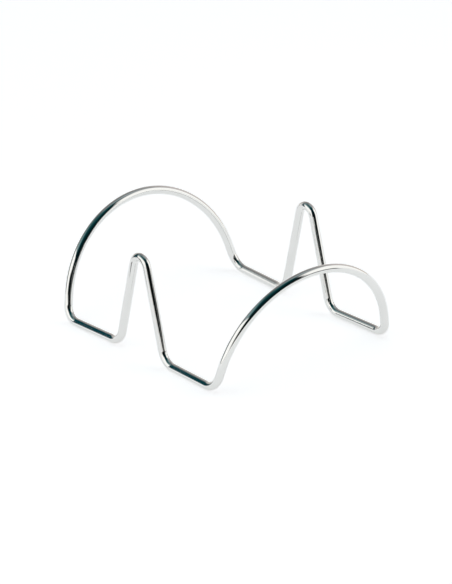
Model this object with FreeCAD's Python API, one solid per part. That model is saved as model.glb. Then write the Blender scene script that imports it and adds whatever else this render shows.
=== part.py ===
import FreeCAD, Part
import math
import os
from FreeCAD import Vector

# Taco holder bent from one round wire that closes on itself.
# Two round arches stand at the ends and lean outwards, and two narrow peaks stand
# back to back between them. Four straight runs on the table join their feet.
# A taco stands in each pocket, on two of the runs, between an arch and the peaks.
# +X goes from arch to arch, +Y from the front to the back, and +Z up.
# The origin is on the table, under the middle of the holder.

# Driving sizes, in millimetres and degrees. Spans and heights are to the wire's
# centreline, at the sharp corners that the bends round off.
wire_diameter = 4.0
overall_height = 51.0
arch_spacing = 110.0
arch_foot_span = 99.8
arch_springing = 10.6
arch_lean = 11.3
peak_foot_span = 33.0
waist_inset = 1.25
floor_bend_inside = 6.0
peak_bend_inside = 3.0

# Sizes that follow from them
wire_radius = wire_diameter / 2
floor_bend = floor_bend_inside + wire_radius
peak_bend = peak_bend_inside + wire_radius
top_level = overall_height - wire_radius
rise = top_level - wire_radius


# Points of the centreline. End is -1 at the left and 1 at the right, and side is -1
# at the front and 1 at the back.

def on_arch(end, across, slope):
    """A point in the plane of an arch, by its place across and its way up the slope."""
    lean = math.radians(arch_lean)
    along = arch_spacing / 2 + slope * math.sin(lean)
    return Vector(end * along, across, wire_radius + slope * math.cos(lean))


def arch_foot(end, side):
    """The corner between a leg of an arch and its floor run."""
    return on_arch(end, side * arch_foot_span / 2, 0)


def arch_crown(end):
    """The highest point of an arch."""
    return on_arch(end, 0, rise / math.cos(math.radians(arch_lean)))


def arch_spring(end, side):
    """Where the round of an arch springs from its straight leg, tangent to it.

    The legs splay by the one angle that lets a round of this height, tangent to both
    legs, start at the springing.
    """
    half_span = arch_foot_span / 2
    slope_height = rise / math.cos(math.radians(arch_lean))
    reach = math.hypot(half_span, slope_height)
    splay = math.atan2(half_span, slope_height) - math.asin((slope_height - arch_springing) / reach)
    return on_arch(end, side * (half_span - arch_springing * math.tan(splay)), arch_springing)


def peak_foot(end, side):
    """The corner between a leg of a peak and its floor run, a little inside the arch's foot."""
    return Vector(end * peak_foot_span / 2, side * (arch_foot_span / 2 - waist_inset), wire_radius)


def peak_corner(side):
    """Where the two legs of a peak would meet above its rounded top."""
    half_span = peak_foot_span / 2
    bend_height = rise - peak_bend
    slant = math.atan2(half_span, bend_height) - math.asin(peak_bend / math.hypot(half_span, bend_height))
    return Vector(0, peak_foot(1, side).y, wire_radius + half_span / math.tan(slant))


def rounded(before, corner, after, radius):
    """The arc that rounds the corner between two straight stretches, tangent to both."""
    back = (before - corner).normalize()
    onward = (after - corner).normalize()
    half_angle = back.getAngle(onward) / 2
    setback = radius / math.tan(half_angle)
    to_middle = radius / math.sin(half_angle) - radius
    middle = corner + (back + onward).normalize() * to_middle
    return Part.Arc(corner + back * setback, middle, corner + onward * setback)


def half_loop(end):
    """The arcs of one peak and the arch that follows it, in order round the wire.

    With end 1 these are the front peak and the right arch, and with end -1 the back
    peak and the left arch, which are the same two turned half round.
    """
    near, far = -end, end
    return [
        rounded(arch_foot(-end, near), peak_foot(-end, near), peak_corner(near), floor_bend),
        rounded(peak_foot(-end, near), peak_corner(near), peak_foot(end, near), peak_bend),
        rounded(peak_corner(near), peak_foot(end, near), arch_foot(end, near), floor_bend),
        rounded(peak_foot(end, near), arch_foot(end, near), arch_spring(end, near), floor_bend),
        Part.Arc(arch_spring(end, near), arch_crown(end), arch_spring(end, far)),
        rounded(arch_spring(end, far), arch_foot(end, far), peak_foot(end, far), floor_bend),
    ]


def centreline():
    """The closed line that the wire follows: arcs, with a straight stretch before each."""
    arcs = half_loop(1) + half_loop(-1)
    edges = []
    for previous, arc in zip([arcs[-1]] + arcs[:-1], arcs):
        edges.append(Part.LineSegment(previous.EndPoint, arc.StartPoint).toShape())
        edges.append(arc.toShape())
    return Part.Wire(edges)


def bent_wire():
    """The round wire swept once round its centreline."""
    route = centreline()
    first = route.Edges[0]
    start = first.valueAt(first.FirstParameter)
    section = Part.Wire(Part.makeCircle(wire_radius, start, first.tangentAt(first.FirstParameter)))
    return route.makePipeShell([section], True, False)


os.makedirs("parts", exist_ok=True)
bent_wire().exportStep("parts/wire_frame.step")
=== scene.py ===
# A taco holder bent from one chromed steel wire, standing on a white table.
# All sizes are in metres. X runs from arch to arch, Y from the front to the back, Z up.

import bmesh
import bpy
import math
from mathutils import Matrix, Quaternion, Vector


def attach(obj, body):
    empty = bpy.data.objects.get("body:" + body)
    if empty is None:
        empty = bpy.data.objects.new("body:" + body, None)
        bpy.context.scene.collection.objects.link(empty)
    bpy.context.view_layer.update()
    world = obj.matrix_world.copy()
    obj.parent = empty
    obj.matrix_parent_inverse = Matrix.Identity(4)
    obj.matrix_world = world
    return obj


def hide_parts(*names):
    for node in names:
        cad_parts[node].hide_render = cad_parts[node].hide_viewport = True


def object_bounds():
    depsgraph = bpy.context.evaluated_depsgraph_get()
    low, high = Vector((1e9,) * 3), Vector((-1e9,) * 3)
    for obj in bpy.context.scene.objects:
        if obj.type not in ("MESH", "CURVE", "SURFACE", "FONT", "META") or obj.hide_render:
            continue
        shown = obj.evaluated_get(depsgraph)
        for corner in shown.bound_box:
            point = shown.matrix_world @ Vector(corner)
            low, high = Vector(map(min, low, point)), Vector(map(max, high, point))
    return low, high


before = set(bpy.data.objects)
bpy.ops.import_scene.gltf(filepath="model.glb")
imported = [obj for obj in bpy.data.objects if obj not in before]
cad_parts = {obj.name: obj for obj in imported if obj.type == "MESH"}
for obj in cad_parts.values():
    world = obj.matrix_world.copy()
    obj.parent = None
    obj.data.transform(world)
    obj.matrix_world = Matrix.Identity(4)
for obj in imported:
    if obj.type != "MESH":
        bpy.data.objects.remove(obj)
cad_low, cad_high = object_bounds()


# The wire. The whole holder is one length of round steel wire, drawn through a die and
# bent round pegs into two leaning arches and two narrow peaks. It is closed on itself,
# polished, and plated with bright chrome, and stands on its four straight floor runs.

mm = 0.001
wire_radius = 2 * mm
arch_spacing = 110 * mm
arch_foot_span = 99.8 * mm
arch_springing = 10.6 * mm
arch_lean = math.radians(11.3)
peak_foot_span = 33 * mm
waist_inset = 1.25 * mm
floor_bend = 8 * mm
peak_bend = 5 * mm
rise = cad_high.z - cad_low.z - 2 * wire_radius
slope_height = rise / math.cos(arch_lean)
half_span = arch_foot_span / 2
half_peak = peak_foot_span / 2

# The legs of an arch splay by the angle at which its round meets both of them, and the
# legs of a peak slant by the angle at which its tight top does.
leg_splay = (math.atan2(half_span, slope_height)
             - math.asin((slope_height - arch_springing) / math.hypot(half_span, slope_height)))
arch_bend = ((half_span * math.cos(leg_splay) - slope_height * math.sin(leg_splay))
             / (1 - math.sin(leg_splay)))
peak_slant = (math.atan2(half_peak, rise - peak_bend)
              - math.asin(peak_bend / math.hypot(half_peak, rise - peak_bend)))


def on_arch(end, across, slope):
    """A point in the leaning plane of an arch, by its place across and up the slope."""
    along = arch_spacing / 2 + slope * math.sin(arch_lean)
    return Vector((end * along, across, wire_radius + slope * math.cos(arch_lean)))


def peak_foot(end, side):
    """The corner between a leg of a peak and its floor run."""
    return Vector((end * half_peak, side * (half_span - waist_inset), wire_radius))


def peak_corner(side):
    """The corner above a peak, where the lines of its two legs meet."""
    return Vector((0, peak_foot(1, side).y, wire_radius + half_peak / math.tan(peak_slant)))


def half_loop(end):
    """The corners of one peak and the arch that follows it, each with the bend that rounds it."""
    near, far = -end, end
    return [
        (peak_foot(-end, near), floor_bend),
        (peak_corner(near), peak_bend),
        (peak_foot(end, near), floor_bend),
        (on_arch(end, near * half_span, 0), floor_bend),
        (on_arch(end, 0, half_span / math.tan(leg_splay)), arch_bend),
        (on_arch(end, far * half_span, 0), floor_bend),
    ]


def bend_at(before, corner, after, radius):
    """Start, centre, axis, angle and radius of the bend that rounds a corner."""
    back = (before - corner).normalized()
    onward = (after - corner).normalized()
    half_angle = back.angle(onward) / 2
    start = corner + back * radius / math.tan(half_angle)
    centre = corner + (back + onward).normalized() * radius / math.sin(half_angle)
    return start, centre, (-back).cross(onward).normalized(), math.pi - 2 * half_angle, radius


def verts_of(geometry):
    """The vertices in what an operator made."""
    return [part for part in geometry if isinstance(part, bmesh.types.BMVert)]


def edges_of(geometry):
    """The edges in what an operator made."""
    return [part for part in geometry if isinstance(part, bmesh.types.BMEdge)]


def draw_straight(bm, rim, end_point, length):
    """Draws the wire's rim straight to a point, and returns the new rim and length."""
    ring = {vert for edge in rim for vert in edge.verts}
    move = end_point - sum((vert.co for vert in ring), Vector()) / len(ring)
    made = bmesh.ops.extrude_edge_only(bm, edges=rim)["geom"]
    bmesh.ops.translate(bm, vec=move, verts=verts_of(made))
    for vert in verts_of(made):
        vert[bm.verts.layers.float["along"]] = length + move.length
        vert[bm.verts.layers.float["bend"]] = 0
    return edges_of(made), length + move.length


arch_step = math.radians(1.2)
tight_step = math.radians(4)


def draw_bend(bm, rim, centre, axis, angle, radius, length):
    """Turns the wire's rim round a bend, and returns the new rim and length."""
    tight = radius <= floor_bend
    steps = math.ceil(angle / (tight_step if tight else arch_step))
    for step in range(1, steps + 1):
        made = bmesh.ops.spin(bm, geom=rim, cent=centre, axis=axis, angle=angle / steps,
                              steps=1, use_duplicate=False)["geom_last"]
        rim = edges_of(made)
        for vert in verts_of(made):
            vert[bm.verts.layers.float["along"]] = length + radius * angle * step / steps
            vert[bm.verts.layers.float["bend"]] = math.sin(math.pi * step / steps) if tight else 0
    return rim, length + radius * angle


wire_sides = 64
route = half_loop(1) + half_loop(-1)
corners = [corner for corner, radius in route]
bends = []
for number, (corner, radius) in enumerate(route):
    before, after = corners[number - 1], corners[(number + 1) % len(corners)]
    bends.append(bend_at(before, corner, after, radius))

# The wire's round starts at the first bend, and is drawn on through all of them.
bm = bmesh.new()
for layer in ("along", "around", "bend"):
    bm.verts.layers.float.new(layer)
first_start = bends[0][0]
heading = (corners[0] - corners[-1]).to_track_quat("Z", "Y").to_matrix().to_4x4()
circle = bmesh.ops.create_circle(bm, segments=wire_sides, radius=wire_radius,
                                 matrix=Matrix.Translation(first_start) @ heading)
for number, vert in enumerate(circle["verts"]):
    vert[bm.verts.layers.float["around"]] = number / wire_sides
rim, length = bm.edges[:], 0.0
for number, (start, centre, axis, angle, radius) in enumerate(bends):
    if number:
        rim, length = draw_straight(bm, rim, start, length)
    rim, length = draw_bend(bm, rim, centre, axis, angle, radius, length)
rim, length = draw_straight(bm, rim, first_start, length)

# The map runs along the wire and around it, in metres.
wire_map = bm.loops.layers.uv.new("wire_map")
for face in bm.faces:
    face.smooth = True
    turns = [loop.vert[bm.verts.layers.float["around"]] for loop in face.loops]
    for loop, turn in zip(face.loops, turns):
        past_seam = max(turns) - turn > 0.5
        loop[wire_map].uv = (loop.vert[bm.verts.layers.float["along"]],
                             (turn + past_seam) * math.tau * wire_radius)
same_place = 0.01 * mm
bmesh.ops.remove_doubles(bm, verts=bm.verts[:], dist=same_place)
bmesh.ops.recalc_face_normals(bm, faces=bm.faces[:])
wire_mesh = bpy.data.meshes.new("taco_holder_wire")
bm.to_mesh(wire_mesh)
bm.free()
wire = bpy.data.objects.new("taco_holder_wire", wire_mesh)
bpy.context.scene.collection.objects.link(wire)


def linear(code):
    """A colour written as an sRGB hex code, turned to the linear values that light adds up in."""
    colour = []
    for place in (1, 3, 5):
        level = int(code[place:place + 2], 16) / 255
        colour.append(level / 12.92 if level <= 0.04045 else ((level + 0.055) / 1.055) ** 2.4)
    return colour + [1]


def add(tree, kind, inputs=None, **settings):
    """Adds a node, sets it, and sets or links its inputs, which are named or numbered."""
    node = tree.nodes.new(kind)
    for name, value in settings.items():
        setattr(node, name, value)
    for socket, value in (inputs or {}).items():
        if isinstance(value, bpy.types.NodeSocket):
            tree.links.new(value, node.inputs[socket])
        else:
            node.inputs[socket].default_value = value
    return node


# Bright chrome: a thin hard plate over nickel on polished wire. It mirrors the studio with
# hardly a blur, only a little darker. The die's lines and the plate's waves make the edges
# of reflections waver, and the pegs have left the tight bends slightly burnished.
chrome = bpy.data.materials.new("bright_chrome_plate")
chrome.use_nodes = True
tree = chrome.node_tree
tree.nodes.clear()
place = add(tree, "ShaderNodeUVMap", uv_map="wire_map").outputs["UV"]
bend = add(tree, "ShaderNodeAttribute", attribute_name="bend").outputs["Fac"]

# Die lines are about 0.05 mm apart, and drawn here 0.4 mm apart so that they show.
line_spacing = 0.4 * mm
line_length = 60 * mm
line_depth = 0.0006 * mm
stretched = add(tree, "ShaderNodeMapping", {
    "Vector": place, "Scale": (1 / line_length, 1 / line_spacing, 1)})
lines = add(tree, "ShaderNodeTexNoise", {"Vector": stretched.outputs[0], "Scale": 1, "Detail": 2})
lined = add(tree, "ShaderNodeBump", {
    "Height": lines.outputs["Fac"], "Strength": 1, "Distance": line_depth})

wave_length = 5 * mm
wave_depth = 0.02 * mm
waves = add(tree, "ShaderNodeTexNoise", {"Vector": place, "Scale": 1 / wave_length, "Detail": 2})
wavy = add(tree, "ShaderNodeBump", {
    "Height": waves.outputs["Fac"], "Strength": 1, "Distance": wave_depth,
    "Normal": lined.outputs["Normal"]})

# The pegs pinch the wire, most in the middle of a bend.
pinch_size = 0.9 * mm
pinch_depth = 0.02 * mm
pinches = add(tree, "ShaderNodeTexNoise", {"Vector": place, "Scale": 1 / pinch_size, "Detail": 1})
pressed = add(tree, "ShaderNodeMath", {0: pinches.outputs["Fac"], 1: bend}, operation="MULTIPLY")
pinched = add(tree, "ShaderNodeBump", {
    "Height": pressed.outputs[0], "Strength": 1, "Distance": pinch_depth,
    "Normal": wavy.outputs["Normal"]})

# The plate blooms a little in patches, and is duller where the pegs rubbed.
bloom_size = 14 * mm
bloom_starts = 0.3
bloom_full = 0.7
clear_roughness = 0.03
bloomed_roughness = 0.07
rubbed_roughness = 0.05
bloom = add(tree, "ShaderNodeTexNoise", {"Vector": place, "Scale": 1 / bloom_size, "Detail": 3})
dulled = add(tree, "ShaderNodeMapRange", {
    "Value": bloom.outputs["Fac"], "From Min": bloom_starts, "From Max": bloom_full,
    "To Min": clear_roughness, "To Max": bloomed_roughness})
rough = add(tree, "ShaderNodeMath", {0: bend, 1: rubbed_roughness, 2: dulled.outputs["Result"]},
            operation="MULTIPLY_ADD")
tint = add(tree, "ShaderNodeMix", {
    "Factor": bloom.outputs["Fac"], "A": linear("#E0E0DE"), "B": linear("#E6E6E4")},
    data_type="RGBA")
plate = add(tree, "ShaderNodeBsdfPrincipled", {
    "Base Color": tint.outputs["Result"], "Metallic": 1.0, "Roughness": rough.outputs[0],
    "Normal": pinched.outputs["Normal"]})
add(tree, "ShaderNodeOutputMaterial", {"Surface": plate.outputs["BSDF"]})
wire_mesh.materials.append(chrome)
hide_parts("wire_frame")
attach(wire, "root")


# The table. A board with a matt white face, far wider than the picture, on which the wire
# just stands. It glows enough to be white for the camera and nearly white in the chrome,
# keeps a faint shadow of the wire, and is plain white far out.

board_width = 24
shadow_ground = 0.5
plain_from = 1.5
camera_fill = 0.46
mirror_fill = 0.40
bm = bmesh.new()
bmesh.ops.create_grid(bm, size=board_width / 2)
board_mesh = bpy.data.meshes.new("table")
bm.to_mesh(board_mesh)
bm.free()
table = bpy.data.objects.new("table", board_mesh)
bpy.context.scene.collection.objects.link(table)

board = bpy.data.materials.new("matt_white_board")
board.use_nodes = True
tree = board.node_tree
tree.nodes.clear()
ray = add(tree, "ShaderNodeLightPath").outputs
in_camera = add(tree, "ShaderNodeMath", {0: ray["Is Camera Ray"], 1: camera_fill},
                operation="MULTIPLY")
in_mirror = add(tree, "ShaderNodeMath", {
    0: ray["Is Glossy Ray"], 1: mirror_fill, 2: in_camera.outputs[0]}, operation="MULTIPLY_ADD")
spot = add(tree, "ShaderNodeTexCoord").outputs["Object"]
distance = add(tree, "ShaderNodeVectorMath", {0: spot}, operation="LENGTH")
fade = add(tree, "ShaderNodeMapRange", {
    "Value": distance.outputs["Value"], "From Min": shadow_ground, "From Max": plain_from},
    interpolation_type="SMOOTHSTEP")
matt = add(tree, "ShaderNodeBsdfDiffuse", {"Color": linear("#F2F2F2")})
glow = add(tree, "ShaderNodeEmission", {
    "Color": linear("#FCFCFF"), "Strength": in_mirror.outputs[0]})
lit = add(tree, "ShaderNodeAddShader", {0: matt.outputs[0], 1: glow.outputs[0]})
plain = add(tree, "ShaderNodeEmission", {"Color": linear("#FFFFFF"), "Strength": 1.0})
paled = add(tree, "ShaderNodeMixShader", {0: fade.outputs[0], 1: lit.outputs[0], 2: plain.outputs[0]})
add(tree, "ShaderNodeOutputMaterial", {"Surface": paled.outputs[0]})
board_mesh.materials.append(board)


# The softboxes. Lamps behind white cloth stand on the table, a wide one at the camera's
# left, and a far one and a near one at its right. The cloth glows evenly and thins out
# towards its edges, and the chrome shows it as its white bands.

camera_azimuth = math.radians(51.88)
toward_camera = camera_azimuth - math.pi / 2


def faded_cloth(name, code, strength, size, fades):
    """Glowing cloth that thins out towards its left, right, lower and upper edges."""
    cloth = bpy.data.materials.new(name)
    cloth.use_nodes = True
    tree = cloth.node_tree
    tree.nodes.clear()
    spot = add(tree, "ShaderNodeTexCoord").outputs["Object"]
    parts = add(tree, "ShaderNodeSeparateXYZ", {0: spot}).outputs
    width, height = size
    edges = (("X", -width / 2, 1), ("X", width / 2, -1),
             ("Y", -height / 2, 1), ("Y", height / 2, -1))
    cover = 1.0
    for (axis, edge, inward), fade in zip(edges, fades):
        side = add(tree, "ShaderNodeMapRange", {
            "Value": parts[axis], "From Min": edge, "From Max": edge + inward * fade},
            interpolation_type="SMOOTHSTEP")
        cover = add(tree, "ShaderNodeMath", {0: side.outputs[0], 1: cover},
                    operation="MULTIPLY").outputs[0]
    glow = add(tree, "ShaderNodeEmission", {"Color": linear(code), "Strength": strength})
    clear = add(tree, "ShaderNodeBsdfTransparent")
    mixed = add(tree, "ShaderNodeMixShader", {0: cover, 1: clear.outputs[0], 2: glow.outputs[0]})
    add(tree, "ShaderNodeOutputMaterial", {"Surface": mixed.outputs[0]})
    return cloth


def hang(name, cloth, size, centre, outward):
    """Hangs a cloth with its back turned outward. The camera itself doesn't see it."""
    width, height = size
    bm = bmesh.new()
    bmesh.ops.create_grid(bm, size=0.5)
    bmesh.ops.scale(bm, vec=(width, height, 1), verts=bm.verts[:])
    mesh = bpy.data.meshes.new(name)
    bm.to_mesh(mesh)
    bm.free()
    mesh.materials.append(cloth)
    panel = bpy.data.objects.new(name, mesh)
    panel.location = centre
    panel.rotation_euler = outward.to_track_quat("Z", "Y").to_euler()
    panel.visible_camera = False
    bpy.context.scene.collection.objects.link(panel)
    return panel


def white_panel(name, strength, bearing, distance, edges, fades):
    """A glowing white panel that faces the wire. Its edges and fades are shares of its distance.

    The bearing is counted from the camera's side to its right, and so are the edges, which
    are the left, right, lower and upper one.
    """
    left, right, bottom, top = [edge * distance for edge in edges]
    angle = toward_camera + bearing
    outward = Vector((math.cos(angle), math.sin(angle), 0))
    sideways = Vector((-math.sin(angle), math.cos(angle), 0))
    upward = Vector((0, 0, 1))
    centre = outward * distance + sideways * (left + right) / 2 + upward * (bottom + top) / 2
    size = (right - left, top - bottom)
    cloth = faded_cloth(name + "_cloth", "#FFFFFD", strength, size,
                        [fade * distance for fade in fades])
    panel = hang(name, cloth, size, centre, outward)


white_panel("left_softbox", strength=1.24, bearing=math.radians(-52), distance=0.74,
            edges=(-2.0, 0.74, 0.02, 1.015), fades=(0.6, 0.40, 0.03, 0.06))
white_panel("right_softbox", strength=1.22, bearing=math.radians(80), distance=1.6,
            edges=(-0.33, 0.8, 0.01, 1.9), fades=(0.14, 0.2, 0.01, 1.1))
white_panel("near_softbox", strength=1.22, bearing=math.radians(100), distance=0.322,
            edges=(-0.3, 0.44, 0.06, 1.4), fades=(0.25, 0.2, 0.05, 0.5))


# The low card. A long strip of white card stands on edge on the table, on the camera's
# side. It carries the table's white a little higher in the chrome, and so keeps the
# black lines on the legs thin.

white_panel("low_card", strength=0.87, bearing=math.radians(5.2), distance=0.422,
            edges=(-1.49, 1.49, 0, 0.116), fades=(0.03, 0.03, 0.001, 0.028))


# The overhead cloth. A round white cloth is stretched on a hoop under a lamp, above the
# table. It lights the table softly from above, which leaves the wire's faint shadow, and
# the chrome doesn't show it.

overhead_width = 1.6
overhead_height = 1.5
overhead_watts = 7
overhead = bpy.data.lights.new("overhead_cloth", "AREA")
overhead.shape = "DISK"
overhead.size = overhead_width
overhead.energy = overhead_watts
overhead_lamp = bpy.data.objects.new("overhead_cloth", overhead)
overhead_lamp.location = (0, 0, overhead_height)
overhead_lamp.visible_glossy = False
bpy.context.scene.collection.objects.link(overhead_lamp)


# The room. Painted walls stand behind the table and at its left and right, pale low down
# and darker towards the ceiling. In front the studio is dark, with a faint green-blue
# cast, as the chrome shows it. The camera itself sees white.

room = bpy.data.worlds.new("studio_room")
bpy.context.scene.world = room
room.use_nodes = True
tree = room.node_tree
tree.nodes.clear()
direction = add(tree, "ShaderNodeTexCoord").outputs["Generated"]
parts = add(tree, "ShaderNodeSeparateXYZ", {0: direction}).outputs
height = add(tree, "ShaderNodeMath", {0: parts["Z"]}, operation="ARCSINE")
toward = (math.cos(toward_camera), math.sin(toward_camera), 0)
rightward = (-math.sin(toward_camera), math.cos(toward_camera), 0)
forth = add(tree, "ShaderNodeVectorMath", {0: direction, 1: toward}, operation="DOT_PRODUCT")
aside = add(tree, "ShaderNodeVectorMath", {0: direction, 1: rightward}, operation="DOT_PRODUCT")
turn = add(tree, "ShaderNodeMath", {0: aside.outputs["Value"], 1: forth.outputs["Value"]},
           operation="ARCTAN2")


def by_height(stops):
    """Colours of one side of the room by height above the horizon, in degrees."""
    share = add(tree, "ShaderNodeMapRange", {
        "Value": height.outputs[0], "From Min": 0, "From Max": math.pi / 2})
    ramp = add(tree, "ShaderNodeValToRGB", {0: share.outputs[0]})
    marks = ramp.color_ramp.elements
    while len(marks) < len(stops):
        marks.new(0.5)
    for mark, (degrees, code) in zip(marks, stops):
        mark.position = degrees / 90
        mark.color = linear(code)
    return ramp.outputs["Color"]


front = by_height([
    (0, "#656A6A"), (1.5, "#0A0D0E"), (14, "#0B1213"), (30, "#05191C"), (45, "#002126"),
    (60, "#043136"), (72, "#0E4145"), (90, "#44686A")])
left = by_height([
    (0, "#F2F2F1"), (12, "#E6E6E5"), (22, "#D6D8D9"), (36, "#B4BCBE"), (46, "#85A0A3"),
    (54, "#648A8D"), (60, "#406467"), (68, "#2F4F51"), (76, "#2C5658"), (90, "#637E80")])
back = by_height([
    (0, "#E3DDD4"), (10, "#D3CFCA"), (20, "#C4C1BE"), (30, "#B0ADAC"), (38, "#939190"),
    (45, "#757678"), (54, "#7A7F81"), (66, "#84898C"), (76, "#7C8B8F"), (90, "#637E80")])
right = by_height([
    (0, "#DCD0C6"), (10, "#D6CFCA"), (22, "#D6D0D0"), (30, "#CFC8C8"), (38, "#B7B3B3"),
    (46, "#A0A0A1"), (56, "#A0A6A9"), (68, "#A0AAAE"), (78, "#8D9DA0"), (90, "#637E80")])

# Each side begins at the first bearing and has taken over at the second, in degrees from
# the camera's side to its right.
sides = ((left, -28, -50), (back, -123, -141), (right, 76, 104), (back, 150, 180))
around = front
for side, begins, full in sides:
    share = add(tree, "ShaderNodeMapRange", {
        "Value": turn.outputs[0], "From Min": math.radians(begins), "From Max": math.radians(full)},
        interpolation_type="SMOOTHSTEP")
    around = add(tree, "ShaderNodeMix", {"Factor": share.outputs[0], "A": around, "B": side},
                 data_type="RGBA").outputs["Result"]
camera_ray = add(tree, "ShaderNodeLightPath").outputs["Is Camera Ray"]
shown = add(tree, "ShaderNodeMix", {"Factor": camera_ray, "A": around, "B": linear("#FFFFFF")},
            data_type="RGBA")
sky = add(tree, "ShaderNodeBackground", {"Color": shown.outputs["Result"], "Strength": 1.0})
add(tree, "ShaderNodeOutputWorld", {"Surface": sky.outputs[0]})


# The dark screen. A teal cloth on a frame hangs before the far end of the left softbox,
# tilted back and rolled a little. Only the chrome shows it, as the dark band along the
# two floor runs in front.

screen_size = (0.640, 0.510)
screen_fades = (0.024, 0.120, 0.095, 0.028)
screen_centre = Vector((-0.374, -0.276, 0.193))
screen_bearing = math.radians(-29.0)
screen_tilt = math.radians(24.1)
screen_roll = math.radians(-19.8)
screen_outward = Vector((math.cos(screen_bearing) * math.cos(screen_tilt),
                         math.sin(screen_bearing) * math.cos(screen_tilt),
                         math.sin(screen_tilt)))


def hang_dark(name, cloth, size, centre, outward):
    """Hangs a dark cloth or card that only the chrome shows, and that shades nothing."""
    card = hang(name, cloth, size, centre, outward)
    card.visible_diffuse = False
    card.visible_shadow = False
    return card


screen_cloth = faded_cloth("teal_screen_cloth", "#003B44", 1.0, screen_size, screen_fades)
screen = hang_dark("dark_screen", screen_cloth, screen_size, screen_centre, screen_outward)
screen.rotation_euler.rotate_axis("Z", screen_roll)


# The flags. Two small black cards are clipped up close to the wire, one off its right end
# and one in front. Only the chrome shows them, as the black line down the peaks' right
# legs and as the dark foot of the left arch.

right_flag_size = (0.098, 0.034)
right_flag_card = faded_cloth("right_flag_cloth", "#10181A", 1.0, right_flag_size,
                              (0.04, 0.012, 0.006, 0.006))
right_flag = hang_dark("right_flag", right_flag_card, right_flag_size,
                       centre=Vector((0.1683, 0.0662, 0.038)), outward=Vector((0.829, 0.559, 0)))
near_flag_size = (0.050, 0.041)
near_flag_card = faded_cloth("near_flag_cloth", "#10181A", 1.0, near_flag_size,
                             (0.020, 0.004, 0.006, 0.015))
near_flag = hang_dark("near_flag", near_flag_card, near_flag_size,
                      centre=Vector((-0.0315, -0.0884, 0.0395)), outward=Vector((0.530, -0.848, 0)))


# The camera. It stands far off to the front right with a long lens, and looks a little
# down on the holder, so that the far arch and the near one come out nearly the same size.

camera_elevation = math.radians(22.36)
camera_roll = math.radians(0.98)
camera_distance = 2.640
aim_point = Vector((-4.55, 3.88, 16.52)) * mm
sensor_millimetres = 36
lens_millimetres = 352.7
farthest_seen = 50
camera_data = bpy.data.cameras.new("camera")
camera_data.sensor_width = sensor_millimetres
camera_data.lens = lens_millimetres
camera_data.clip_end = farthest_seen
camera = bpy.data.objects.new("camera", camera_data)
backward = Vector((math.sin(camera_azimuth) * math.cos(camera_elevation),
                   -math.cos(camera_azimuth) * math.cos(camera_elevation),
                   math.sin(camera_elevation)))
camera.rotation_mode = "QUATERNION"
camera.rotation_quaternion = backward.to_track_quat("Z", "Y") @ Quaternion((0, 0, 1), -camera_roll)
camera.location = aim_point + backward * camera_distance
bpy.context.scene.collection.objects.link(camera)
bpy.context.scene.camera = camera
bpy.context.scene.view_settings.view_transform = "Standard"
